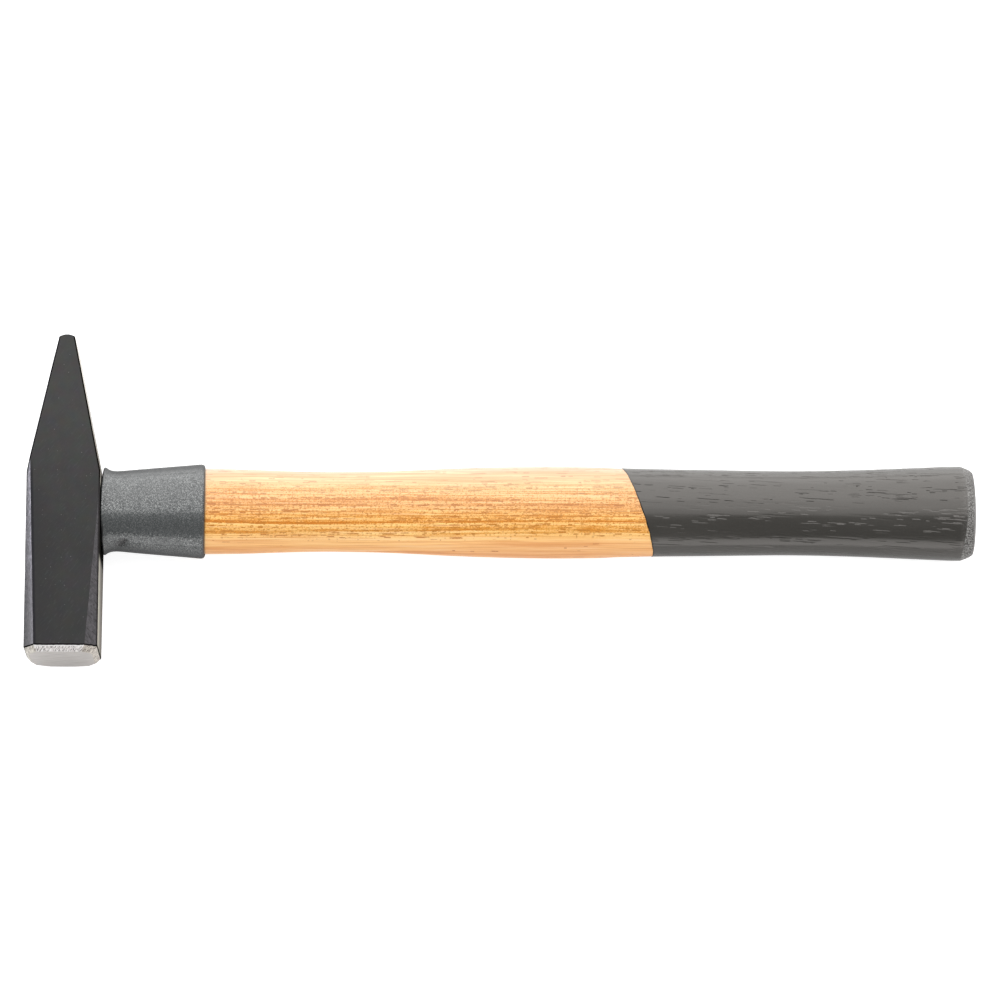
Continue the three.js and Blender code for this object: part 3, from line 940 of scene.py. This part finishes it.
def head_material():
    mat = Material("black_forged_steel")
    x, y, z = mat.position.split()
    normal_x, normal_y, normal_z = mat.normal().split()
    upward = abs(normal_z)
    cheek = upward.fade(over=(0.93, 0.985))
    cloud = mat.noise(size=(14, 22, 14), detail=3, rough=0.55)
    fine = mat.noise(size=0.55, rough=0.6)
    scuff = mat.noise(at=mat.join((x + y * -0.8) / 0.7, (y + x * 0.8) / 3.5, 0.0))

    # where the arrises run, in mm
    outer_leg = y.linear(over=(RING_Y, SHOULDER_Y), to=(OUTER_X, OUTER_SHOULDER_X))
    across = (x + HALF) / outer_leg
    beside = (x + HALF) - outer_leg
    taper = y.linear(over=(SHOULDER_Y, PEIN_Y))
    from_inner = (HALF - taper * (HALF - PEIN_LEAN - PEIN_HALF)) - x
    from_outer = (x - taper * (HALF + PEIN_LEAN - PEIN_HALF)) + HALF
    pein = y.fade(over=(4.0, 12.0))
    # painted shade: dark lines along the arrises, warm and cool ones where the pein's sides turn away,
    # a navy one on the cheek beside the outer chamfer
    showing = upward.fade(over=(0.12, 0.3)) * normal_y.fade(over=(0.75, 0.5))
    warm_line = from_inner.fade(over=(0.65, 0.3)) * pein.fade(over=(0, 1), to=(0.75, 1.0)) * showing
    cool_line = from_outer.fade(over=(0.55, 0.25)) * pein * showing
    navy_line = (beside.fade(over=(0.0, 0.15)) * beside.fade(over=(1.1, 0.5))
                 * (cheek * y.fade(over=(16, 8), to=(0, 0.55))))

    # black finish of the cheeks: clouds, scuffs, tint, pale dots, a darker outer part
    black = mat.mix(cloud.fade(over=(0.35, 0.65)),
                    (0.0080, 0.0076, 0.0078), (0.0120, 0.0116, 0.0118))
    # painted light: the black grows lighter towards the pein
    black = black.mix(by=y.fade(over=(-30, 52)), to=(0.0225, 0.022, 0.021))
    black = black.mix(by=scuff.fade(over=(0.56, 0.70)) * 0.24, to=(0.035, 0.034, 0.035))
    tint = mat.noise(size=4.0).color
    black = black.mix(by=0.35, to=black.times(tint).times(grey(2.0)))
    specks = mat.cells(size=1.5)
    dot = (specks.fade(over=(0.05, 0.12), to=(1, 0))
           * specks.color.split()[0].fade(over=(0.62, 0.7)))
    black = black.mix(by=dot * 0.6, to=(0.12, 0.115, 0.115))
    black = black.mix(by=x.fade(over=(-1, -9)) * y.fade(over=(12, -2), to=(0, 0.55)),
                      to=(0.0035, 0.0034, 0.0040))
    black = black.mix(by=navy_line, to=(0.004, 0.0038, 0.0085))

    # thinner, mottled finish of the chamfers, with painted light: the outer chamfer is painted pale,
    # the others dim
    mottle = mat.noise(size=(0.75, 1.3, 0.75), detail=4, rough=0.7)
    outer = normal_x.fade(over=(-0.5, -0.7))
    light = mottle.ramp((0.32, (0.10, 0.10, 0.118)), (0.5, (0.19, 0.187, 0.215)),
                        (0.66, (0.36, 0.35, 0.40)))
    # painted light: the pale outer chamfer grows duller towards the face, and lighter towards the
    # cheek and the pein
    light = light.mix(by=y.fade(over=(5, -45)), to=mottle.ramp(
        (0.32, (0.105, 0.103, 0.112)), (0.5, (0.155, 0.152, 0.165)), (0.68, (0.22, 0.215, 0.235))))
    dim = mottle.ramp((0.34, (0.045, 0.044, 0.047)), (0.5, (0.068, 0.063, 0.068)),
                      (0.66, (0.095, 0.089, 0.096)))
    strokes = mat.noise(at=mat.join((x + y * 0.9) / 0.42, (y - x * 0.9) / 2.6, z / 2), rough=0.6)
    dim = dim.mix(by=strokes.fade(over=(0.55, 0.66)) * 0.8, to=(0.020, 0.018, 0.019))
    light = light.times(across.linear(over=(0, 1)).ramp(
        (0.0, grey(0.36)), (0.25, (0.50, 0.50, 0.495)), (0.6, grey(0.72)), (0.9, (1.0, 0.99, 1.02))))
    light = light.times(y.linear(over=(-25, 5)).ramp((0.0, grey(1.04)), (1.0, grey(1.24))))
    edges = mat.mix(outer, dim, light)
    # painted highlight on the outer arrises
    arris = upward.fade(over=(0.64, 0.74)) * upward.fade(over=(0.93, 0.84))
    arris = arris * normal_x.fade(over=(-0.2, -0.35))
    edges = edges.mix(by=arris * 0.85, to=(0.62, 0.61, 0.68))
    flank = upward.fade(over=(0.3, 0.1))
    side = mat.noise(size=0.6, detail=4, rough=0.7)
    edges = edges.mix(by=flank, to=mat.mix(
        cloud.fade(over=(0.3, 0.7)),
        side.ramp((0.30, (0.034, 0.033, 0.033)), (0.5, (0.046, 0.045, 0.0445)),
                  (0.70, (0.068, 0.066, 0.065))),
        side.ramp((0.30, (0.046, 0.045, 0.044)), (0.5, (0.060, 0.058, 0.057)),
                  (0.70, (0.085, 0.082, 0.080)))))
    paint = mat.mix(cheek, edges, black)

    # painted sheen: the side faces are painted pale where they are seen edge on, darker towards the
    # floor and lighter towards the pein's tip, with painted shade beside the eye
    edge_on_sheen = flank * mat.facing().fade(over=(0.86, 0.91))
    sheen = z.linear(over=(-HALF, HALF)).ramp(
        (0.0, (0.18, 0.17, 0.16)), (0.3, (0.24, 0.225, 0.205)),
        (0.6, (0.33, 0.31, 0.28)), (0.8, (0.55, 0.53, 0.46)))
    eye_gap_shade = y.fade(over=(-19, -15.5)) * y.fade(over=(8, 5))
    sheen = sheen.times(eye_gap_shade.ramp((0.0, grey(1.0)), (1.0, grey(0.03))))
    pein_sheen = z.linear(over=(-HALF, HALF)).ramp(
        (0.0, (0.28, 0.265, 0.25)), (0.22, (0.38, 0.36, 0.34)),
        (0.42, (0.68, 0.65, 0.605)), (0.9, (0.68, 0.65, 0.605)))
    pein_sheen = pein_sheen.times(y.linear(over=(8, 33)).ramp(
        (0.0, (0.38, 0.37, 0.36)), (0.48, (0.56, 0.545, 0.52)), (1.0, grey(1.0))))
    sheen = sheen.mix(by=y.fade(over=(5, 9)), to=pein_sheen)
    paint = paint.mix(by=edge_on_sheen, to=sheen)
    # painted shade lines along the pein's arrises
    paint = paint.mix(by=warm_line, to=(0.004, 0.003, 0.002))
    paint = paint.mix(by=cool_line, to=(0.004, 0.0036, 0.0075))

    # ground steel round the face, with an uneven border, and painted shade as a dark line along the
    # paint's edge
    border = y + (mat.noise(size=1.1) - 0.5) * 0.35
    ground = border.fade(over=(RING_Y - 0.40, RING_Y - 0.32), to=(1, 0))
    paint_edge_shade = border.fade(over=(RING_Y + 0.2, RING_Y - 0.02))
    paint = paint.mix(by=paint_edge_shade, to=(0.003, 0.0026, 0.0026))
    flat = abs(normal_y).fade(over=(0.93, 0.975))
    # grinding strokes run slantwise across the ring
    turn = mat.math("ARCTAN2", z, x)
    along = mat.noise(at=mat.join(turn * 52.0 + y * 2.2, y / 1.0, 0.0), rough=0.6, distort=0.2)
    face_marks = mat.noise(at=mat.join((x + z * 0.5) / 5.0, 0.0, z / 0.5),
                           detail=3, rough=0.6, distort=0.6)
    ring = along.ramp((0.33, (0.09, 0.083, 0.08)), (0.42, (0.46, 0.43, 0.415)),
                      (0.50, (0.80, 0.765, 0.75)), (0.60, (1.0, 0.975, 0.965)))
    # painted shade: the ring's facets that turn to the sides are darker
    ring = ring.mix(by=normal_x.fade(over=(0.1, 0.35)), to=ring.times((0.73, 0.70, 0.645)))
    ring = ring.mix(by=normal_x.fade(over=(-0.1, -0.35)), to=ring.times((0.72, 0.71, 0.66)))
    # painted highlight along the ring's border with the paint
    ring_edge_highlight = (border.fade(over=(RING_Y - 0.80, RING_Y - 0.55))
            * abs(normal_x).fade(over=(0.4, 0.15), to=(0, 0.85)))
    ring = ring.mix(by=ring_edge_highlight, to=(1.0, 0.99, 0.985))
    smooth = face_marks.ramp((0.3, (0.40, 0.374, 0.356)), (0.5, (0.465, 0.437, 0.417)),
                             (0.7, (0.53, 0.50, 0.478)))
    color = mat.mix(ground, paint, mat.mix(flat, ring, smooth))

    lines = warm_line.maximum(cool_line).maximum(paint_edge_shade.maximum(navy_line * 0.7))
    matt = lines.maximum(edge_on_sheen)
    paint_metal = mat.mix_value(cheek, mat.mix_value(outer, 0.35, 0.75), 0.0) * (1.0 - matt)
    paint_rough = mat.mix_value(cheek, fine.fade(over=(0.3, 0.7), to=(0.32, 0.46)),
                                fine.fade(over=(0.3, 0.7), to=(0.38, 0.46)))
    steel_rough = mat.mix_value(flat, along.fade(over=(0.35, 0.65), to=(0.62, 0.46)),
                                face_marks.fade(over=(0.3, 0.7), to=(0.40, 0.32)))
    paint_rough = mat.mix_value(flank, paint_rough, 0.16)
    specular = mat.mix_value(cheek, 0.5, 0.26) * (1.0 - matt * (1.0 - ground))

    # relief of the cheeks, the chamfers, the flanks and the ground steel
    pits = mat.noise(size=0.9, detail=3, rough=0.6)
    height = pits * 0.35 + fine * 0.2 + scuff * 0.14 - dot * 0.5
    height = mat.mix_value(cheek, mottle * 1.5 + fine * 0.6, height)
    height = mat.mix_value(flank, height, height * 0.25)
    height = mat.mix_value(ground, height, mat.mix_value(flat, along * 2.4, face_marks * 0.25))
    return mat.finish(
        Base_Color=color, Metallic=mat.mix_value(ground, paint_metal, 1.0),
        Roughness=mat.mix_value(ground, paint_rough, steel_rough),
        Specular_IOR_Level=specular, Normal=mat.bump(height, depth=0.05, strength=0.8))


def sleeve_material():
    mat = Material("grey_metallic_paint")
    x, y, _ = mat.position.split()
    edge = mat.facing()
    speckle = mat.noise(size=0.27, detail=1, rough=0.7)
    flake, bright, _ = mat.cells(size=0.215).color.split()
    cloud = mat.noise(size=7, detail=3)
    grit = speckle * 0.45 + flake * 0.30 + 0.135
    color = grit.ramp((0.34, (0.008, 0.009, 0.010)), (0.45, (0.034, 0.037, 0.038)),
                      (0.57, (0.092, 0.098, 0.0975)), (0.68, (0.32, 0.328, 0.322)))
    color = color.mix(by=bright.fade(over=(0.84, 0.97)) * 0.5, to=(0.26, 0.268, 0.262))
    color = color.mix(by=cloud.fade(over=(0.3, 0.7), to=(0.0, 0.25)), to=(0.060, 0.065, 0.066))
    # painted light and shade: the paint is darker and its flakes calmer where the sheet turns away
    # from the light, by the direction it faces
    normal_y = mat.normal().split()[1]
    for over, level in (((-0.10, 0.12), 0.64), ((-0.56, -0.66), 0.82)):
        color = color.times(normal_y.linear(over).ramp((0.0, grey(1.0)), (1.0, grey(level))))
    shade_band = normal_y.fade(over=(-0.60, -0.50)) * normal_y.fade(over=(-0.04, -0.27))
    color = color.mix(by=shade_band * 0.65, to=(0.056, 0.061, 0.062))
    # painted shade, darker where the sheet is seen edge on
    color = color.mix(by=edge.fade(over=(0.22, 0.62), to=(0.0, 0.92)), to=(0.022, 0.0238, 0.0245))
    # painted shadow on the rim next to the head, and darker paint in the crease
    rim = x.fade(over=(12.85, 12.55)) * abs(y).fade(over=(4.0, 9.5))
    color = color.mix(by=rim, to=(0.006, 0.0065, 0.007))
    crease_darkening = (mat.attribute("crease").fade(over=(0.10, 0.70))
             * speckle.fade(over=(0.35, 0.6), to=(1.0, 0.45)))
    color = color.mix(by=crease_darkening, to=(0.022, 0.018, 0.019))
    # each flake tilts its own way under a smoother clear coat
    tilt = mat.scaled(mat.vector("SUBTRACT", speckle.color, grey(0.5)), 0.68)
    peel = mat.bump(mat.noise(size=1.1), depth=0.02, strength=0.5)
    return mat.finish(
        Base_Color=color, Metallic=0.45, Roughness=0.45,
        Normal=mat.vector("NORMALIZE", mat.vector("ADD", peel, tilt)),
        Coat_Weight=edge.fade(over=(0.28, 0.72), to=(0.75, 0.10)),
        Specular_IOR_Level=edge.fade(over=(0.35, 0.80), to=(0.5, 0.15)),
        Coat_Roughness=0.10, Coat_IOR=1.5, Coat_Normal=peel)


def wood_pores(mat, x, y, z, grain, busy, tick):
    """Short open pores in rows along the rings."""
    rows = mat.noise(at=grain, size=(60, 1.0, 3.5), detail=1)
    common = rows.fade(over=(0.40, 0.60)) * (busy * 0.72 + y.fade(over=(-8, -3), to=(0.06, 0.16)))
    around = mat.around(y, z)
    long = mat.dashes(x, around, cell=(5.6, 0.80), half_length=2.7, half_width=0.32,
                      presence=common * 0.9, soft=0.62)
    medium = mat.dashes(x, around, cell=(3.2, 0.66), half_length=1.4, half_width=0.29,
                        presence=common * 0.85, soft=0.62, tilt=0.01, shift=37.0)
    short = mat.dashes(x, around, cell=(1.3, 0.56), half_length=0.55, half_width=0.26,
                       presence=busy * 0.6, soft=0.6, shift=71.0)
    sparse = mat.dashes(x, around, cell=(9.0, 1.3), half_length=3.5, half_width=0.24,
                        presence=y.fade(over=(4, 8), to=(0.0, 0.35)), soft=0.5, shift=113.0)
    pore = long.maximum(sparse).maximum((medium * 0.9).maximum(short * 0.7))
    pore = (pore * tick.fade(over=(0.30, 0.46), to=(0.55, 1.25))).minimum(1.0)
    return pore * y.fade(over=(1.0, 7.0), to=(1.0, 0.62))


def wood_material():
    mat = Material("lacquered_hickory")
    x, true_y, z = mat.position.split()
    warp_y, warp_z, _ = mat.noise(size=(75, 18, 18)).color.split()
    y = true_y + (warp_y - 0.5) * 2.0
    z = z + (warp_z - 0.5) * 2.0
    grain = mat.join(x, y + z * 0.25, z - y * 0.25)
    # mean colour across the blank: pale sapwood, the dense late growth, pink heartwood; part of its
    # change across y is painted light and shade
    base = y.linear(over=(-15, 15)).ramp(
        (0.04, (0.85, 0.42, 0.145)), (0.12, (0.95, 0.53, 0.180)), (0.22, (0.985, 0.65, 0.245)),
        (0.33, (0.95, 0.590, 0.200)), (0.42, (0.86, 0.530, 0.188)), (0.50, (0.79, 0.470, 0.180)),
        (0.60, (0.78, 0.47, 0.190)), (0.71, (0.66, 0.418, 0.193)), (0.79, (0.57, 0.350, 0.178)),
        (0.86, (0.52, 0.330, 0.180)), (0.95, (0.49, 0.355, 0.265)))
    lines = mat.noise(at=grain, size=(45, 0.46, 4.0), rough=0.6)
    broad = mat.noise(at=grain, size=(150, 1.9, 6.0))
    fibre = mat.noise(at=grain, size=(9.0, 0.26, 0.9), rough=0.6)
    thin = mat.noise(at=grain, size=(24.0, 0.25, 2.0), detail=1)
    tick = mat.noise(at=grain, size=(0.42, 0.27, 0.45), detail=1)

    # the grain is busiest below the middle in y, and quiet along the edges
    busy = y.fade(over=(-11.5, -6.5)) * y.fade(over=(9.5, 2.5))
    dark = lines.fade(over=(0.49, 0.60)) * 0.50
    dark = dark + broad.fade(over=(0.46, 0.66)) * 0.18
    dark = dark + thin.fade(over=(0.50, 0.62)) * (busy * 0.26 + 0.14)
    dark = dark * y.fade(over=(2.0, 8.0), to=(1.0, 0.5))
    dark = dark + fibre.fade(over=(0.48, 0.61)) * (busy * 0.34 + 0.10)
    dark = dark + tick.fade(over=(0.50, 0.62)) * (busy * 0.60 + 0.03)
    # one sharp dark ring of late growth, dotted with pores, and softer ones beside it
    ring = y + (lines - 0.5) * 0.8
    dots = mat.noise(at=grain, size=(0.42, 0.3, 0.5), detail=1, rough=0.6)
    sharp = (abs(ring + 5.35).fade(over=(0.40, 0.14))
             * dots.fade(over=(0.42, 0.54), to=(0.25, 1.3)))
    below = (abs(ring + 7.6).fade(over=(0.62, 0.15))
             * fibre.fade(over=(0.36, 0.6), to=(0.3, 1.0)))
    above = (abs(ring + 3.2).fade(over=(0.5, 0.1))
             * fibre.fade(over=(0.36, 0.6), to=(0.1, 0.8)))
    dark = dark + (sharp * 1.1 + (below * x.fade(over=(75, 115), to=(0.14, 0.5)) + above * 0.35))
    dark = dark.minimum(1.6)
    late_growth = (0.70, 0.43, 0.12)
    color = base.mix(by=dark.minimum(1.0), to=base.times(late_growth))
    color = color.mix(by=(dark - 1.0).maximum(0.0), to=color.times(late_growth))
    # pale streaks between the rings
    pale = lines.fade(over=(0.44, 0.32)) * fibre.fade(over=(0.35, 0.55), to=(0.25, 0.85))
    color = color.mix(by=pale * 0.6, to=(0.92, 0.62, 0.34))
    color = color.mix(by=abs(ring + 6.15).fade(over=(0.42, 0.1), to=(0, 0.55)),
                      to=(1.0, 0.68, 0.28))
    pore = wood_pores(mat, x, y, z, grain, busy, tick)
    brown = mat.mix(y.fade(over=(1, 7)), (0.52, 0.29, 0.085), (0.46, 0.38, 0.27))
    color = color.mix(by=pore, to=base.times(brown))
    # painted shade in the corner under the sleeve's bowed end
    across = true_y / 14.9
    rim = (SLEEVE_END - 0.02) + (1.0 - across * across) * 0.40
    color = color.mix(by=(x - rim).fade(over=(0.50, 0.10), to=(0, 0.8)), to=(0.10, 0.066, 0.026))
    # painted shade: the neck next to the head, in the dark gap between head and sleeve, is painted
    # nearly black
    color = color.mix(by=x.fade(over=(14.5, 13.0)), to=(0.012, 0.011, 0.010))
    return mat.finish(
        Base_Color=color, Roughness=fibre.fade(over=(0.3, 0.7), to=(0.40, 0.32)),
        Normal=mat.bump(fibre * 0.4 - pore * 1.0, depth=0.03, strength=0.7),
        Coat_Weight=0.2, Coat_Roughness=0.2)


def wedge_material():
    mat = Material("wedge_hardwood")
    fibre = mat.noise(size=(9, 0.5, 0.5), detail=3, rough=0.6)
    speck = mat.noise(size=0.35)
    tone = fibre * 0.6 + speck * 0.4
    color = tone.ramp((0.32, (0.26, 0.13, 0.05)), (0.5, (0.46, 0.27, 0.12)),
                      (0.68, (0.62, 0.41, 0.2)))
    return mat.finish(Base_Color=color, Roughness=0.62,
                      Normal=mat.bump(tone, depth=0.06, strength=0.8))


def ring_material():
    mat = Material("drawn_steel")
    drawn = mat.noise(size=(2.5, 0.25, 0.25), detail=3, rough=0.6)
    patches = mat.noise(size=0.8, detail=3, rough=0.6)
    color = drawn.ramp((0.3, (0.34, 0.34, 0.345)), (0.5, (0.48, 0.48, 0.485)), (0.7, grey(0.6)))
    color = color.mix(by=patches.fade(over=(0.55, 0.75), to=(0, 0.5)), to=(0.22, 0.2, 0.18))
    return mat.finish(
        Base_Color=color, Metallic=1.0, Roughness=patches.fade(over=(0.3, 0.7), to=(0.28, 0.45)),
        Normal=mat.bump(drawn, depth=0.03, strength=0.6))


def coat_marks(mat, x, y, z, speck, end):
    """Fine open pores that show through the lacquer."""
    around = mat.around(y, z)
    wander = mat.noise(at=mat.join(x / 3.0, around / 2.0, 0.0))
    rows = mat.noise(at=mat.join(x / 30, around / 3.0, 0.0), detail=1, rough=0.4)
    around = around + (wander - 0.5) * 0.45
    common = rows.fade(over=(0.35, 0.62))
    medium = mat.dashes(x, around, cell=(8.0, 1.0), half_length=4.2, half_width=0.145,
                        presence=common * 0.58, soft=0.6, tilt=0.055)
    short = mat.dashes(x, around, cell=(4.6, 0.85), half_length=2.3, half_width=0.14,
                       presence=common * 0.50, soft=0.6, tilt=0.05, shift=41.0)
    long = mat.dashes(x, around, cell=(15.0, 1.7), half_length=7.5, half_width=0.14,
                      presence=0.28, soft=0.6, tilt=0.06, shift=83.0)
    mark = medium.maximum(short.maximum(long))
    mark = mark * speck.fade(over=(0.25, 0.5), to=(0.55, 1.0))
    return mark * ((1.0 - end) * y.fade(over=(-2.5, -4.0), to=(0.76, 0.62)))


def coat_material():
    mat = Material("grey_dip_lacquer")
    x, y, z = mat.position.split()
    end = mat.attribute("end_grain")
    cloud = mat.noise(size=(30, 5, 5), detail=3)
    fine = mat.noise(size=(12, 0.5, 0.5))
    speck = mat.noise(size=0.22, detail=1)
    grain = mat.noise(size=(0.6, 0.3, 0.3), rough=0.7)
    mark = coat_marks(mat, x, y, z, speck, end)
    # lacquer with clouds, pale specks, darker pores and pale end grain
    color = mat.mix(cloud.fade(over=(0.3, 0.7)), (0.0315, 0.0298, 0.0265), (0.0375, 0.0355, 0.0318))
    color = color.mix(by=speck.fade(over=(0.45, 0.7)) * 0.2, to=(0.055, 0.053, 0.049))
    color = color.mix(by=mat.attribute("pore").fade(over=(0.3, 0.9)) * 0.15,
                      to=(0.02, 0.019, 0.017))
    color = color.mix(by=mark * 0.5, to=(0.020, 0.019, 0.0172))
    color = color.mix(by=end * grain.fade(over=(0.44, 0.58)), to=mat.mix(
        y.fade(over=(2, 8)), (0.27, 0.265, 0.258), (0.15, 0.147, 0.143)))
    # painted shadow: a dark line along the coat's front edge against the wood, stronger towards -Y
    behind = x - (DIP_X + (y * DIP_SLOPE + z * DIP_TILT))
    coat_edge_shadow = behind.fade(over=(0.46, 0.16)) * y.fade(over=(11, -3), to=(0.25, 0.9))
    color = color.mix(by=coat_edge_shadow, to=(0.006, 0.0055, 0.005))
    height = fine * 0.22 + speck * 0.06 - mark * 0.5
    height = mat.mix_value(end, height, grain * 6.0)
    surface = mat.bump(height, depth=0.035, strength=0.8)
    # the walls of the open pores lean away from the surface around them
    normal_x, normal_y, normal_z = mat.normal().split()
    lean = mat.mix_value(normal_y.fade(over=(-0.04, 0.08)),
                         normal_y.fade(over=(-0.52, -0.44), to=(-0.05, 0.36)), -0.42)
    wall = mat.join(normal_x, lean, normal_z)
    unmarked = 1.0 - mark
    both = mat.vector("ADD",
                      mat.vector("MULTIPLY", surface, mat.join(unmarked, unmarked, unmarked)),
                      mat.vector("MULTIPLY", wall, mat.join(mark, mark, mark)))
    return mat.finish(
        Base_Color=color, IOR=1.58, Specular_Tint=(1.0, 0.955, 0.92),
        Roughness=mat.mix_value(end, cloud.fade(over=(0.3, 0.7), to=(0.17, 0.23)), 0.5),
        Normal=mat.vector("NORMALIZE", both), Specular_IOR_Level=(1.0 - coat_edge_shadow) * 0.5)


# -------------------------------------------------------------------- assembly

head = build_head()
sleeve = build_sleeve()
handle = build_handle()
wood_wedge = build_wood_wedge()
ring_wedge = build_ring_wedge()
coat = build_coat()

for ob, node, slot, material in (
    (head, "head", "head_steel", head_material()),
    (handle, "handle", "hickory", wood_material()),
    (wood_wedge, "wood_wedge", "wedge_wood", wedge_material()),
    (ring_wedge, "ring_wedge", "bright_steel", ring_material()),
    (sleeve, "neck_sleeve", "sleeve_paint", sleeve_material()),
    (coat, "grip_coat", "grip_lacquer", coat_material()),
):
    ob.data.materials.clear()
    ob.data.materials.append(material)
    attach(ob, "root")
    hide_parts(node)


# ------------------------------------------------------- floor, light, camera

scene = bpy.context.scene
scene.view_settings.view_transform = "Standard"
scene.view_settings.look = "None"
scene.view_settings.exposure = 0.0
scene.view_settings.gamma = 1.0

AIM_X = 137.6                                     # mm, the middle of the hammer's length


def build_floor():
    """A wide sheet. It glows more towards +Y, but evenly for the camera."""
    reach, height = 30, -0.0003                   # metres
    corners = [(-reach, -reach), (reach, -reach), (reach, reach), (-reach, reach)]
    ob = mesh_object("floor", [(x, y, height) for x, y in corners], [(0, 1, 2, 3)], False)
    material = bpy.data.materials.new("pale_floor")
    material.use_nodes = True
    graph = Graph(material.node_tree)
    y = graph.add("NewGeometry", output="Position").split()[1]
    glow = y.fade(over=(-0.01, 0.13), to=(0.45, 2.1))
    for_camera = graph.add("LightPath", output="Is Camera Ray")
    surface = graph.tree.nodes["Principled BSDF"]
    for name, value in {
        "Base Color": grey(0.55),
        "Roughness": 0.9,
        "Specular IOR Level": 0.0,
        "Emission Color": grey(1),
        "Emission Strength": graph.mix_value(for_camera, glow, 0.85),
    }.items():
        graph.feed(value, surface.inputs[name])
    ob.data.materials.append(material)


def softbox(name, angle, distance, width, depth, radiance, azimuth=0.0):
    """A light facing the hammer, its angle in degrees from overhead towards +Y."""
    angle = math.radians(angle)
    direction = Vector((0, math.sin(angle), math.cos(angle)))
    direction.rotate(Matrix.Rotation(math.radians(azimuth), 3, "Z"))
    light = bpy.data.lights.new(name, "AREA")
    light.shape = "RECTANGLE"
    light.size, light.size_y = width, depth
    light.energy = radiance * math.pi * width * depth
    ob = bpy.data.objects.new(name, light)
    ob.location = Vector((AIM_X * MM, 0.004, EYE_Z * MM)) + direction * distance
    ob.rotation_mode = "QUATERNION"
    ob.rotation_quaternion = (-direction).to_track_quat("-Z", "Y")
    scene.collection.objects.link(ob)
    ob.visible_camera = False


def panel(name, low, high, radiance, distance, length=4.2):
    """A softbox that fills the angles low to high, as seen from the hammer."""
    half = math.radians(high - low) / 2
    softbox(name, (low + high) / 2, distance, length, 2 * distance * math.tan(half), radiance)


def build_world():
    """White for the camera; for the light it gives, dimmer towards the zenith."""
    world = bpy.data.worlds.new("studio")
    scene.world = world
    world.use_nodes = True
    graph = Graph(world.node_tree)
    graph.tree.nodes.clear()
    output = graph.tree.nodes.new("ShaderNodeOutputWorld")
    up = graph.add("TexCoord", output="Generated").split()[2]
    lighting = graph.add("Background", {"Strength": up.fade(over=(0.15, 0.5), to=(0.95, 0.38))})
    backdrop = graph.add("Background", {"Color": grey(1), "Strength": 1.0})
    for_camera = graph.add("LightPath", output="Is Camera Ray")
    graph.feed(graph.add("MixShader", {0: for_camera, 1: lighting, 2: backdrop}), output.inputs[0])


def build_camera():
    """Above the cheek, leaning towards the striking face, slightly rolled."""
    aim_y, distance = 4.04, 1900.0                # mm
    tilt, roll = math.radians(14.2), math.radians(0.165)
    back, rise = distance * math.sin(tilt), distance * math.cos(tilt)
    place = Vector((AIM_X, aim_y - back, EYE_Z + rise)) * MM
    aim = Vector((AIM_X, aim_y, EYE_Z)) * MM
    forward = (aim - place).normalized()
    level = forward.cross(Vector((0, 1, 0))).normalized()
    upright = level.cross(forward)
    right = math.cos(roll) * level + math.sin(roll) * upright
    up = -math.sin(roll) * level + math.cos(roll) * upright
    camera = bpy.data.cameras.new("camera")
    camera.sensor_width = 36.0
    camera.lens = 216.0072
    camera.clip_start, camera.clip_end = 0.05, 60
    ob = bpy.data.objects.new("camera", camera)
    scene.collection.objects.link(ob)
    matrix = Matrix((right, up, -forward)).transposed().to_4x4()
    matrix.translation = place
    ob.matrix_world = matrix
    scene.camera = ob


build_floor()
panel("key_back", low=24, high=87, radiance=2.75, distance=2.2)
panel("key_mid", low=6, high=24, radiance=2.1, distance=2.25)
panel("key_top", low=-5, high=6, radiance=1.45, distance=2.3)
panel("front_strip", low=-88, high=-61, radiance=1.75, distance=2.2, length=2.6)
softbox("left_fill", angle=62, distance=1.9, width=1.2, depth=1.2, radiance=1.0, azimuth=90)
build_world()
build_camera()
